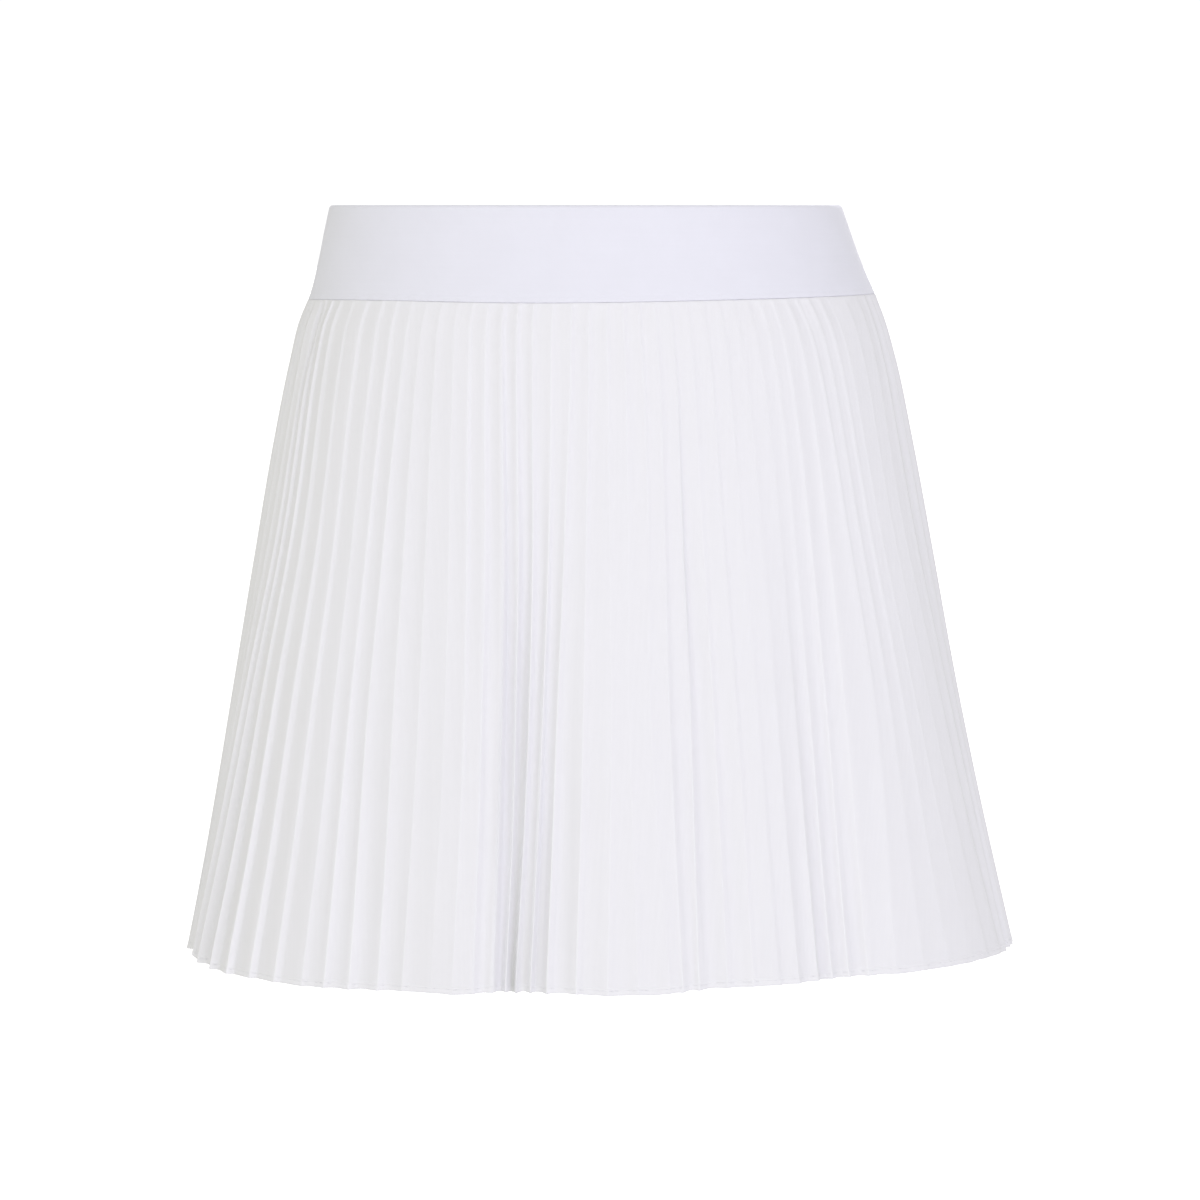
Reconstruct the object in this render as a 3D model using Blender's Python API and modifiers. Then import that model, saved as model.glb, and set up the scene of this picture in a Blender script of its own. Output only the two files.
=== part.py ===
"""A pleated tennis skirt, filled out as it hangs from a wearer's waist.

It has the three pieces that a maker cuts and sews: a wide elastic waistband
and two pleated skirt panels, front and back, that meet at the side seams.
The origin is in the middle of the waist opening, half way up the waistband.
The front faces -Y, +X is to the right as one looks at the front, +Z is up.
Heights are given as drops below the waistband's top edge.
"""
import math
from typing import NamedTuple

import bmesh
import bpy
import numpy as np

MM = 0.001

BAND_HEIGHT = 47.0 * MM
BAND_WALL = 2.2 * MM
BAND_EDGE_RADIUS = 2.6 * MM
BAND_EDGE_STEPS = 3
BAND_SEGMENTS = 96
BAND_ROW_DROPS = (BAND_HEIGHT, 36.0 * MM, 24.0 * MM, 12.0 * MM)
SEAM_TILT = 2.6 * MM

CLOTH_WALL = 1.0 * MM
SEAM_GAP = 0.3 * MM
TUCK_GAP = 0.45 * MM
TUCK_DEPTH = 7.5 * MM
TUCK_CLEARANCE = 1.3 * MM
TUCK_PLEAT_DEPTH = 0.25 * MM
PLEATS_PER_PANEL = 48
SAMPLES = 1440
SHARP_ANGLE = math.radians(20.0)

BAND_COLOR = (0.86, 0.86, 0.90, 1.0)
BAND_ROUGHNESS = 0.75
CLOTH_COLOR = (0.85, 0.85, 0.86, 1.0)
CLOTH_ROUGHNESS = 0.7


class Section(NamedTuple):
    """One level of the garment, in millimetres."""

    drop: float
    half_width: float
    front: float
    back: float
    shift: float
    pleat_depth: float


class Fold(NamedTuple):
    """One large fold of a panel, fully open from the drop `full` on.

    Where it is at and its reach to the left and right are shares of the
    panel. Its swell (outward), dip (of the hem), starts and full are in
    millimetres. It crowds the pleats and lifts their depth by shares.
    """

    at: float
    left: float
    right: float
    swell: float
    crowd: float
    lift: float
    dip: float
    starts: float
    full: float


SECTIONS = (
    Section(drop=0.0, half_width=129.4, front=89.5, back=91.0, shift=-1.5, pleat_depth=0.0),
    Section(drop=12.6, half_width=132.9, front=91.5, back=93.0, shift=-0.8, pleat_depth=0.0),
    Section(drop=27.8, half_width=137.1, front=94.0, back=96.5, shift=0.2, pleat_depth=0.0),
    Section(drop=47.0, half_width=143.7, front=98.5, back=102.0, shift=1.5, pleat_depth=0.5),
    Section(drop=55.0, half_width=147.3, front=100.0, back=104.5, shift=1.4, pleat_depth=0.9),
    Section(drop=78.0, half_width=153.9, front=103.0, back=110.0, shift=1.9, pleat_depth=1.1),
    Section(drop=119.0, half_width=162.6, front=106.5, back=117.0, shift=2.0, pleat_depth=1.3),
    Section(drop=180.0, half_width=173.9, front=110.0, back=124.0, shift=2.2, pleat_depth=1.5),
    Section(drop=242.0, half_width=185.1, front=114.5, back=128.0, shift=2.6, pleat_depth=1.7),
    Section(drop=304.0, half_width=197.1, front=118.5, back=130.5, shift=3.6, pleat_depth=2.0),
    Section(drop=380.0, half_width=213.4, front=123.5, back=133.0, shift=4.9, pleat_depth=2.3),
)

PANEL_DROPS = (54.0, 66.0, 84.0, 112.0, 150.0, 195.0, 240.0, 288.0, 336.0, 380.0)

FRONT_FOLDS = (
    Fold(at=0.04, left=0.06, right=0.06, swell=0, crowd=0.7, lift=0.5, dip=-1.5, starts=45, full=150),
    Fold(at=0.22, left=0.13, right=0.13, swell=1.6, crowd=-0.25, lift=0.3, dip=1.4, starts=47, full=260),
    Fold(at=0.375, left=0.04, right=0.026, swell=2.4, crowd=-0.1, lift=-0.6, dip=0.2, starts=150, full=380),
    Fold(at=0.422, left=0.018, right=0.05, swell=-3.2, crowd=0.9, lift=0.9, dip=0.9, starts=90, full=330),
    Fold(at=0.5, left=0.05, right=0.04, swell=1.6, crowd=-0.1, lift=-0.3, dip=0.8, starts=150, full=380),
    Fold(at=0.607, left=0.022, right=0.03, swell=-2.2, crowd=0.15, lift=-0.1, dip=0.8, starts=100, full=300),
    Fold(at=0.728, left=0.024, right=0.04, swell=-2.6, crowd=0.2, lift=0.5, dip=0.9, starts=120, full=320),
    Fold(at=0.85, left=0.11, right=0.11, swell=1.5, crowd=0, lift=-0.5, dip=0.5, starts=47, full=200),
)

BACK_FOLDS = (
    Fold(at=0.05, left=0.06, right=0.06, swell=0, crowd=0.4, lift=0.45, dip=-0.4, starts=45, full=150),
    Fold(at=0.18, left=0.022, right=0.04, swell=-3, crowd=0.35, lift=0.5, dip=0.3, starts=120, full=330),
    Fold(at=0.31, left=0.09, right=0.08, swell=2, crowd=-0.2, lift=0.1, dip=1, starts=60, full=260),
    Fold(at=0.465, left=0.03, right=0.02, swell=-4, crowd=0.8, lift=0.9, dip=0.6, starts=120, full=350),
    Fold(at=0.56, left=0.06, right=0.05, swell=2.2, crowd=-0.15, lift=-0.35, dip=0, starts=150, full=380),
    Fold(at=0.69, left=0.02, right=0.035, swell=-3.2, crowd=0.4, lift=0.5, dip=0.4, starts=100, full=340),
    Fold(at=0.87, left=0.09, right=0.08, swell=1.5, crowd=-0.1, lift=-0.2, dip=1.2, starts=50, full=220),
)


def section_at(drop):
    """Section at a drop in metres, read smoothly between the rows of the table."""
    rows = np.array(SECTIONS) * MM
    drops = rows[:, 0]
    values = []
    for column in rows.T[1:]:
        slopes = np.gradient(column, drops)
        i = int(np.clip(np.searchsorted(drops, drop) - 1, 0, len(drops) - 2))
        span = drops[i + 1] - drops[i]
        t = (drop - drops[i]) / span
        rise = (2 * t**3 - 3 * t**2 + 1) * column[i] + (3 * t**2 - 2 * t**3) * column[i + 1]
        lean = (t**3 - 2 * t**2 + t) * slopes[i] + (t**3 - t**2) * slopes[i + 1]
        values.append(rise + lean * span)
    return Section(drop, *values)


class Loop:
    """Half of a level's outline, from the left side seam to the right one."""

    def __init__(self, section, is_back, inset=0.0):
        depth = section.back if is_back else section.front
        self.a = section.half_width - inset
        self.b = (depth - inset) * (1.0 if is_back else -1.0)
        self.shift = section.shift
        self.turns = np.linspace(-math.pi / 2, math.pi / 2, SAMPLES + 1)
        steps = np.hypot(np.diff(self.a * np.sin(self.turns)), np.diff(self.b * np.cos(self.turns)))
        self.arcs = np.concatenate(([0.0], np.cumsum(steps)))
        self.length = float(self.arcs[-1])

    def place(self, share, outward=0.0):
        """Point at a share of the half outline, moved outward along its normal."""
        arc = SEAM_GAP / 2 + share * (self.length - SEAM_GAP)
        turn = float(np.interp(arc, self.arcs, self.turns))
        x = self.a * math.sin(turn)
        y = self.b * math.cos(turn)
        normal = (x / self.a**2, y / self.b**2)
        size = math.hypot(*normal)
        return (
            self.shift + x + outward * normal[0] / size,
            y + outward * normal[1] / size,
            math.sin(turn),
        )


def bell(share, fold):
    """How strongly a fold acts at a share of the panel, from 0 to 1."""
    reach = np.where(share < fold.at, fold.left, fold.right)
    return np.exp(-(((share - fold.at) / reach) ** 2))


def opened(drop, fold):
    """How far a fold has opened at a drop, easing from 0 at its start to 1."""
    t = np.clip((drop / MM - fold.starts) / (fold.full - fold.starts), 0.0, 1.0)
    return math.sin(t * math.pi / 2)


def hung(drop):
    """Share of the way from the waist seam, 0, to the hem, 1."""
    return max(0.0, (drop - BAND_HEIGHT) / (PANEL_DROPS[-1] * MM - BAND_HEIGHT))


def crease_shares(drop, folds):
    """Places of all the panel's creases at a drop: closer together in crowded folds."""
    shares = np.linspace(0.0, 1.0, SAMPLES + 1)
    density = np.ones_like(shares)
    for fold in folds:
        density += fold.crowd * hung(drop) * bell(shares, fold)
    counts = np.concatenate(([0.0], np.cumsum((density[1:] + density[:-1]) / 2)))
    creases = np.linspace(0.0, 1.0, 2 * PLEATS_PER_PANEL + 1)
    return np.interp(creases, counts / counts[-1], shares)


def folded(share, drop, folds, column):
    """Sum of one column of the large folds' effects at a point of a panel."""
    return sum(getattr(fold, column) * opened(drop, fold) * bell(share, fold) for fold in folds)


def height(drop, side):
    """World height of a drop, with the waistband's lower seam tilted by its hang."""
    tilt = SEAM_TILT * side * min(drop / BAND_HEIGHT, 1.0)
    return BAND_HEIGHT / 2 - drop + tilt


def material(name, color, roughness):
    """A plain cloth material."""
    result = bpy.data.materials.new(name)
    result.use_nodes = True
    shader = result.node_tree.nodes["Principled BSDF"]
    shader.inputs["Base Color"].default_value = color
    shader.inputs["Roughness"].default_value = roughness
    shader.inputs["Metallic"].default_value = 0.0
    result.diffuse_color = color
    return result


def cloth_object(name, mesh, wall, finish, collection):
    """An object whose open surface becomes a wall that grows inward."""
    mesh.shade_smooth()
    mesh.set_sharp_from_angle(angle=SHARP_ANGLE)
    mesh.materials.append(finish)
    piece = bpy.data.objects.new(name, mesh)
    collection.objects.link(piece)
    shell = piece.modifiers.new("wall", "SOLIDIFY")
    shell.thickness = wall
    shell.offset = -1.0
    shell.use_even_offset = True
    shell.use_quality_normals = True
    return piece


def panel_level(row):
    """Drop, inset and pleat depth of a panel's row; the first rows tuck into the band."""
    tucked = BAND_WALL + TUCK_GAP
    seam = BAND_HEIGHT + TUCK_CLEARANCE
    tuck_rows = (
        (BAND_HEIGHT - TUCK_DEPTH, tucked, TUCK_PLEAT_DEPTH),
        (seam, tucked, TUCK_PLEAT_DEPTH),
    )
    if row < len(tuck_rows):
        return tuck_rows[row]
    drop = PANEL_DROPS[row - len(tuck_rows)] * MM
    return drop, 0.0, section_at(drop).pleat_depth


def pleated_panel(name, folds, is_back, finish, collection):
    """One skirt panel: a grid laid on the garment's levels and folded into pleats."""
    columns = 2 * PLEATS_PER_PANEL
    rows = len(PANEL_DROPS) + 1
    grid = bmesh.new()
    bmesh.ops.create_grid(grid, x_segments=columns, y_segments=rows, size=1.0)
    placed = {}
    for row in range(rows + 1):
        drop, inset, depth = panel_level(row)
        loop = Loop(section_at(drop), is_back, inset)
        for column, share in enumerate(crease_shares(drop, folds)):
            pleat = 0.0 if column % 2 else depth * (1.0 + folded(share, drop, folds, "lift"))
            swell = folded(share, drop, folds, "swell") * MM
            dip = folded(share, drop, folds, "dip") * MM
            x, y, side = loop.place(share, swell - pleat)
            placed[column, row] = (x, y, height(drop, side) - dip)
    for vertex in grid.verts:
        column = round((vertex.co.x + 1.0) / 2.0 * columns)
        row = round((1.0 - vertex.co.y) / 2.0 * rows)
        vertex.co = placed[column, row]
    bmesh.ops.recalc_face_normals(grid, faces=grid.faces)
    middle = min(grid.faces, key=lambda face: abs(face.calc_center_median().x))
    if middle.normal.y * (1.0 if is_back else -1.0) < 0.0:
        bmesh.ops.reverse_faces(grid, faces=grid.faces)
    mesh = bpy.data.meshes.new(name)
    grid.to_mesh(mesh)
    grid.free()
    return cloth_object(name, mesh, CLOTH_WALL, finish, collection)


def band_profile():
    """Waistband rows as (drop, inset): straight up, then rolled over at the top edge."""
    rows = [(drop, 0.0) for drop in BAND_ROW_DROPS]
    for step in range(BAND_EDGE_STEPS + 1):
        turn = math.pi / 2 * step / BAND_EDGE_STEPS
        drop = BAND_EDGE_RADIUS * (1.0 - math.sin(turn))
        inset = BAND_EDGE_RADIUS * (1.0 - math.cos(turn))
        rows.append((drop, inset))
    return rows


def waistband(name, finish, collection):
    """The elastic loop: a profile spun round and laid on the garment's levels."""
    profile = band_profile()
    band = bmesh.new()
    line = [band.verts.new((1.0, 0.0, float(row))) for row in range(len(profile))]
    edges = [band.edges.new(pair) for pair in zip(line, line[1:])]
    bmesh.ops.spin(
        band,
        geom=line + edges,
        cent=(0.0, 0.0, 0.0),
        axis=(0.0, 0.0, 1.0),
        angle=2.0 * math.pi,
        steps=BAND_SEGMENTS,
        use_merge=True,
    )
    half = BAND_SEGMENTS // 2
    for vertex in band.verts:
        drop, inset = profile[round(vertex.co.z)]
        step = round(math.atan2(vertex.co.y, vertex.co.x) / (2.0 * math.pi) * BAND_SEGMENTS)
        is_back = step > 0
        share = 1.0 - abs(step) / half
        loop = Loop(section_at(drop), is_back, inset)
        x, y, side = loop.place(share)
        y = 0.0 if step in (0, half, -half) else y
        vertex.co = (x, y, height(drop, side))
    bmesh.ops.recalc_face_normals(band, faces=band.faces)
    front = min(band.faces, key=lambda face: face.calc_center_median().y)
    if front.normal.y > 0.0:
        bmesh.ops.reverse_faces(band, faces=band.faces)
    mesh = bpy.data.meshes.new(name)
    band.to_mesh(mesh)
    band.free()
    return cloth_object(name, mesh, BAND_WALL, finish, collection)


def main():
    """Build the skirt's three pieces."""
    for leftover in list(bpy.data.objects):
        bpy.data.objects.remove(leftover, do_unlink=True)
    collection = bpy.data.collections.new("tennis_skirt")
    bpy.context.scene.collection.children.link(collection)
    elastic = material("band_elastic", BAND_COLOR, BAND_ROUGHNESS)
    cloth = material("pleated_cloth", CLOTH_COLOR, CLOTH_ROUGHNESS)
    waistband("waistband", elastic, collection)
    pleated_panel("skirt_front", FRONT_FOLDS, False, cloth, collection)
    pleated_panel("skirt_back", BACK_FOLDS, True, cloth, collection)


main()
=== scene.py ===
"""Dresses the tennis skirt: an elastic waistband and two panels of pressed pleats, sewn and hung as worn.

Sizes are in metres, +Z points up along the wearer and the skirt's front faces -Y. Heights are given as drops
below the waistband's top edge, which is half a waistband above the origin.
"""

import logging
import math
from dataclasses import astuple, dataclass, field
from enum import Enum

import bmesh
import bpy
import numpy as np
from bmesh.types import BMesh, BMVert
from bpy.types import Material, Node, NodeSocket, NodeTree, Object
from mathutils import Matrix, Vector


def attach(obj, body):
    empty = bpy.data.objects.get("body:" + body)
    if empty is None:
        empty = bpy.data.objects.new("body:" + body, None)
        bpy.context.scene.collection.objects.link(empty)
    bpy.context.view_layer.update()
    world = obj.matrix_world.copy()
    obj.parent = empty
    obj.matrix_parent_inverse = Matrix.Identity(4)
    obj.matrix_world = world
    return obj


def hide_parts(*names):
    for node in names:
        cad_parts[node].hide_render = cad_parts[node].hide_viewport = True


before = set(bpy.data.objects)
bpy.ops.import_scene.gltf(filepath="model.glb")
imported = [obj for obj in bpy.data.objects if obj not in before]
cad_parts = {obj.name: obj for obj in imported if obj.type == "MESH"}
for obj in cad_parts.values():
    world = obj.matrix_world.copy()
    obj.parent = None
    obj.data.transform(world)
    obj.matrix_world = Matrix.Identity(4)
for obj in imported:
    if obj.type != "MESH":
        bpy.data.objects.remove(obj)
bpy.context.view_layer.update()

MM = 0.001
LOG = logging.getLogger("tennis_skirt")

Colour = tuple[float, float, float, float]


class Side(Enum):
    """Which half of the skirt a panel covers, and which way it faces along Y."""

    FRONT = -1.0
    BACK = 1.0

    @property
    def label(self) -> str:
        """The side's name in lower case."""
        return self.name.lower()


@dataclass(frozen=True)
class Section:
    """One level of the garment, in millimetres in the table below and in metres once it has been read.

    Attributes:
        drop: How far below the waistband's top edge it lies.
        half_width: Half of its width.
        front: Its depth before the side seams.
        back: Its depth behind them.
        shift: How far it hangs to the right.
    """

    drop: float
    half_width: float
    front: float
    back: float
    shift: float


@dataclass(frozen=True)
class Fold:
    """One large fold of a panel.

    Attributes:
        place: Where it lies, as a share of the panel's width.
        left: How far it reaches to the left, as a share of the width.
        right: How far it reaches to the right.
        swell: How far it stands out once it has opened, in millimetres.
        dip: How far it hangs down once it has opened, in millimetres.
        starts: The drop at which it starts to open, in millimetres.
        full: The drop at which it has opened.
    """

    place: float
    left: float
    right: float
    swell: float
    dip: float
    starts: float
    full: float

    def bell(self, share: np.ndarray) -> np.ndarray:
        """How strongly the fold acts at a share of the panel, from 0 to 1."""
        reach = np.where(share < self.place, self.left, self.right)
        return np.exp(-(((share - self.place) / reach) ** 2))

    def opened(self, drop: float) -> float:
        """How far the fold has opened at a drop in metres, from 0 to 1."""
        t = float(np.clip((drop / MM - self.starts) / (self.full - self.starts), 0.0, 1.0))
        return math.sin(t * math.pi / 2)


@dataclass(frozen=True)
class MainPleat:
    """A pleat that leads its neighbours. The pleats between two main ones are spread evenly.

    Attributes:
        number: Its count from the left side seam.
        top: Where its edge stands at the first of the place drops, in thousandths of the panel's width.
        upper: The same at the second.
        middle: The same at the third.
        hem: The same at the last.
        valley: How far towards the next edge the valley on its right lies, as a share.
        top_depth: Its depth at the first of the depth drops, in millimetres.
        middle_depth: The same at the second.
        hem_depth: The same at the last.
    """

    number: int
    top: float
    upper: float
    middle: float
    hem: float
    valley: float
    top_depth: float
    middle_depth: float
    hem_depth: float


@dataclass(frozen=True)
class Fan:
    """Pleats that leave the waist seam to one side of where they hang.

    Attributes:
        place: The middle of the fan, as a share of the panel.
        width: How far it reaches to each side, as a share of the panel.
        shift: How far its creases stand to the side at the seam, in metres.
        reach: How far below the seam they hang nearly straight again, in metres.
        ease: How suddenly they straighten.
    """

    place: float
    width: float
    shift: float
    reach: float
    ease: float = 1.3

    def moved(self, share: np.ndarray, below_seam: float) -> np.ndarray:
        """How far the creases stand to the side, in metres, at a distance below the seam."""
        near = math.exp(-((max(below_seam, 0.0) / self.reach) ** self.ease))
        return self.shift * near * np.exp(-(((share - self.place) / self.width) ** 2))


@dataclass(frozen=True)
class Tuck:
    """A short pocket where the waist seam pinches the cloth.

    Attributes:
        place: Its middle, as a share of the panel.
        width: How far it reaches to each side, as a share of the panel.
        depth: How far the cloth is pressed in, in metres.
        reach: How far below the seam it is deepest, in metres.
    """

    place: float
    width: float
    depth: float
    reach: float

    def pressed(self, share: np.ndarray, below_seam: float) -> np.ndarray:
        """How far the cloth is pressed in, in metres, at a distance below the seam."""
        away = max(below_seam, 0.0) / self.reach
        return self.depth * away * math.exp(1.0 - away) * np.exp(-(((share - self.place) / self.width) ** 2))


@dataclass(frozen=True)
class HemRow:
    """A row of the doubled hem.

    Attributes:
        above: How far above the hem's edge it runs, in metres.
        raised: How far it stands out, as a share of the turned-up cloth's thickness.
    """

    above: float
    raised: float


SECTIONS = (
    Section(0.0, 129.4, 89.5, 91.0, -1.5),
    Section(12.6, 132.9, 91.5, 93.0, -0.8),
    Section(27.8, 137.1, 94.0, 96.5, 0.2),
    Section(47.0, 143.7, 98.5, 102.0, 1.5),
    Section(55.0, 147.3, 100.0, 104.5, 1.4),
    Section(78.0, 153.9, 103.0, 110.0, 1.9),
    Section(119.0, 162.6, 106.5, 117.0, 2.0),
    Section(180.0, 173.9, 110.0, 124.0, 2.2),
    Section(242.0, 185.1, 114.5, 128.0, 2.6),
    Section(304.0, 197.1, 118.5, 130.5, 3.6),
    Section(380.0, 213.4, 123.5, 133.0, 4.9),
)

FRONT_FOLDS = (
    Fold(0.040, 0.060, 0.060, 0.0, -0.6, 45.0, 150.0),
    Fold(0.048, 0.050, 0.009, -2.2, -4.4, 120.0, 360.0),
    Fold(0.220, 0.130, 0.130, 1.6, 1.4, 47.0, 260.0),
    Fold(0.375, 0.040, 0.026, 2.4, 0.7, 150.0, 380.0),
    Fold(0.422, 0.018, 0.050, -3.2, 0.9, 90.0, 330.0),
    Fold(0.500, 0.050, 0.040, 1.6, 0.8, 150.0, 380.0),
    Fold(0.555, 0.050, 0.035, 0.0, 1.8, 100.0, 380.0),
    Fold(0.607, 0.022, 0.030, -2.2, 0.1, 100.0, 300.0),
    Fold(0.728, 0.026, 0.044, -3.8, -0.3, 120.0, 320.0),
    Fold(0.850, 0.110, 0.110, 1.5, -0.6, 47.0, 200.0),
)

BACK_FOLDS = (
    Fold(0.050, 0.060, 0.060, 0.0, -0.4, 45.0, 150.0),
    Fold(0.180, 0.022, 0.040, -3.0, 0.3, 120.0, 330.0),
    Fold(0.310, 0.090, 0.080, 2.0, 1.0, 60.0, 260.0),
    Fold(0.465, 0.030, 0.020, -4.0, 0.6, 120.0, 350.0),
    Fold(0.560, 0.060, 0.050, 2.2, 0.0, 150.0, 380.0),
    Fold(0.690, 0.020, 0.035, -3.2, 0.4, 100.0, 340.0),
    Fold(0.870, 0.090, 0.080, 1.5, 1.2, 50.0, 220.0),
)

# The drops in millimetres at which the main pleats' places and depths are given.
PLACE_DROPS = (58.0, 148.0, 238.0, 372.0)
DEPTH_DROPS = (58.0, 238.0, 372.0)

FRONT_PLEATS = (
    MainPleat(0, 12, 10, 7, 4, 0.45, 1.6, 1.4, 3.4),
    MainPleat(2, 44, 41, 32, 19, 0.42, 2.2, 1.5, 5.8),
    MainPleat(3, 59, 61, 50, 29, 0.40, 1.2, 1.0, 1.6),
    MainPleat(4, 75, 83, 68, 40, 0.38, 0.6, 0.9, 0.3),
    MainPleat(5, 88, 102, 84, 57, 0.36, 0.7, 1.4, 1.5),
    MainPleat(6, 101, 114, 96, 73, 0.34, 1.1, 2.1, 5.0),
    MainPleat(8, 140, 153, 142, 127, 0.31, 0.8, 1.5, 3.5),
    MainPleat(11, 220, 224, 223, 220, 0.32, 0.6, 0.8, 1.4),
    MainPleat(13, 265, 264, 263, 269, 0.36, 0.5, 1.9, 3.3),
    MainPleat(16, 329, 340, 348, 347, 0.42, 0.4, 0.3, 0.2),
    MainPleat(18, 370, 382, 388, 389, 0.40, 0.8, 1.3, 0.6),
    MainPleat(19, 390, 402, 406, 405, 0.42, 1.1, 4.2, 5.8),
    MainPleat(21, 428, 434, 433, 424, 0.42, 1.0, 4.1, 5.6),
    MainPleat(23, 476, 470, 463, 452, 0.34, 0.9, 2.0, 3.8),
    MainPleat(25, 520, 519, 517, 508, 0.38, 0.8, 0.3, 1.8),
    MainPleat(27, 560, 562, 559, 566, 0.44, 0.8, 0.2, 0.4),
    MainPleat(29, 599, 598, 599, 593, 0.38, 0.6, 2.5, 3.5),
    MainPleat(32, 664, 667, 670, 667, 0.40, 0.4, 0.4, 0.6),
    MainPleat(34, 705, 712, 713, 705, 0.56, 0.2, 0.8, 3.4),
    MainPleat(36, 744, 748, 748, 738, 0.56, 0.3, 1.4, 3.0),
    MainPleat(37, 767, 770, 768, 757, 0.54, 0.4, 1.6, 2.0),
    MainPleat(38, 786, 796, 805, 784, 0.50, 0.6, 0.7, 0.5),
    MainPleat(41, 838, 842, 859, 874, 0.44, 0.3, 0.2, 0.2),
    MainPleat(43, 892, 885, 904, 925, 0.46, 0.3, 0.2, 0.8),
    MainPleat(45, 938, 934, 946, 960, 0.48, 1.6, 1.4, 3.0),
    MainPleat(47, 985, 983, 987, 993, 0.50, 1.8, 1.4, 0.3),
)

BACK_PLEATS = (
    MainPleat(0, 12, 11, 9, 6, 0.46, 1.6, 2.0, 2.6),
    MainPleat(4, 84, 78, 70, 60, 0.40, 1.0, 2.4, 3.4),
    MainPleat(7, 150, 148, 143, 138, 0.36, 0.7, 1.4, 2.2),
    MainPleat(9, 193, 190, 182, 174, 0.42, 1.1, 3.2, 4.2),
    MainPleat(11, 233, 228, 222, 214, 0.48, 0.6, 1.0, 1.2),
    MainPleat(15, 312, 318, 322, 328, 0.52, 0.8, 0.7, 1.0),
    MainPleat(19, 401, 408, 415, 426, 0.46, 1.0, 2.0, 2.6),
    MainPleat(21, 446, 449, 452, 455, 0.54, 1.6, 3.8, 4.6),
    MainPleat(23, 489, 484, 480, 476, 0.50, 1.2, 3.0, 3.8),
    MainPleat(26, 549, 545, 548, 546, 0.44, 0.6, 0.8, 1.0),
    MainPleat(30, 634, 630, 634, 642, 0.50, 0.5, 0.9, 1.6),
    MainPleat(33, 694, 690, 687, 684, 0.56, 0.9, 3.0, 3.6),
    MainPleat(35, 735, 733, 724, 717, 0.48, 0.7, 1.6, 2.4),
    MainPleat(39, 822, 826, 823, 815, 0.54, 0.6, 0.6, 0.8),
    MainPleat(43, 902, 905, 911, 914, 0.60, 1.1, 1.8, 2.8),
    MainPleat(47, 988, 987, 989, 991, 0.52, 1.6, 1.8, 2.0),
)

FRONT_FANS = (
    Fan(0.10, 0.07, 2.0 * MM, 22.0 * MM),
    Fan(0.80, 0.08, -4.0 * MM, 9.0 * MM),
)

FRONT_TUCKS = (
    Tuck(0.030, 0.008, 1.4 * MM, 10.0 * MM),
    Tuck(0.096, 0.010, 2.4 * MM, 13.0 * MM),
    Tuck(0.158, 0.009, 0.9 * MM, 8.0 * MM),
    Tuck(0.715, 0.007, 0.6 * MM, 5.0 * MM),
    Tuck(0.782, 0.008, 1.1 * MM, 6.0 * MM),
    Tuck(0.836, 0.008, 1.0 * MM, 5.0 * MM),
)

BACK_FANS = (
    Fan(0.14, 0.10, 3.0 * MM, 14.0 * MM),
    Fan(0.88, 0.10, -3.0 * MM, 12.0 * MM),
)

BACK_TUCKS = (
    Tuck(0.052, 0.009, 1.5 * MM, 11.0 * MM),
    Tuck(0.262, 0.008, 0.9 * MM, 7.0 * MM),
    Tuck(0.571, 0.008, 0.7 * MM, 6.0 * MM),
    Tuck(0.905, 0.010, 1.8 * MM, 12.0 * MM),
)

HEM_ROWS = (
    HemRow(3.60 * MM, 0.0),
    HemRow(3.35 * MM, 1.0),
    HemRow(2.75 * MM, 1.0),
    HemRow(2.50 * MM, 0.3),
    HemRow(2.25 * MM, 1.0),
    HemRow(1.20 * MM, 1.2),
    HemRow(0.30 * MM, 1.0),
    HemRow(0.0, 0.0),
)
# The row of the hem, counted from its first, that is the stitches' groove.
HEM_GROOVE = 3


def read_smoothly(drops: np.ndarray, table: np.ndarray, drop: float) -> np.ndarray:
    """Reads a table smoothly between its rows.

    Args:
        drops: Where the rows stand, from the top down.
        table: One row of values for each of them.
        drop: Where to read, held inside the table.

    Returns:
        The values at the drop.
    """
    held = float(np.clip(drop, drops[0], drops[-1]))
    i = int(np.clip(np.searchsorted(drops, held) - 1, 0, len(drops) - 2))
    span = drops[i + 1] - drops[i]
    t = (held - drops[i]) / span
    slopes = np.gradient(table, drops, axis=0)
    rise = (2 * t**3 - 3 * t**2 + 1) * table[i] + (3 * t**2 - 2 * t**3) * table[i + 1]
    lean = (t**3 - 2 * t**2 + t) * slopes[i] + (t**3 - t**2) * slopes[i + 1]
    return rise + lean * span


def run_along(points: np.ndarray) -> np.ndarray:
    """Distances along a line of points, from its first one."""
    return np.concatenate(([0.0], np.cumsum(np.linalg.norm(np.diff(points, axis=0), axis=1))))


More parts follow.
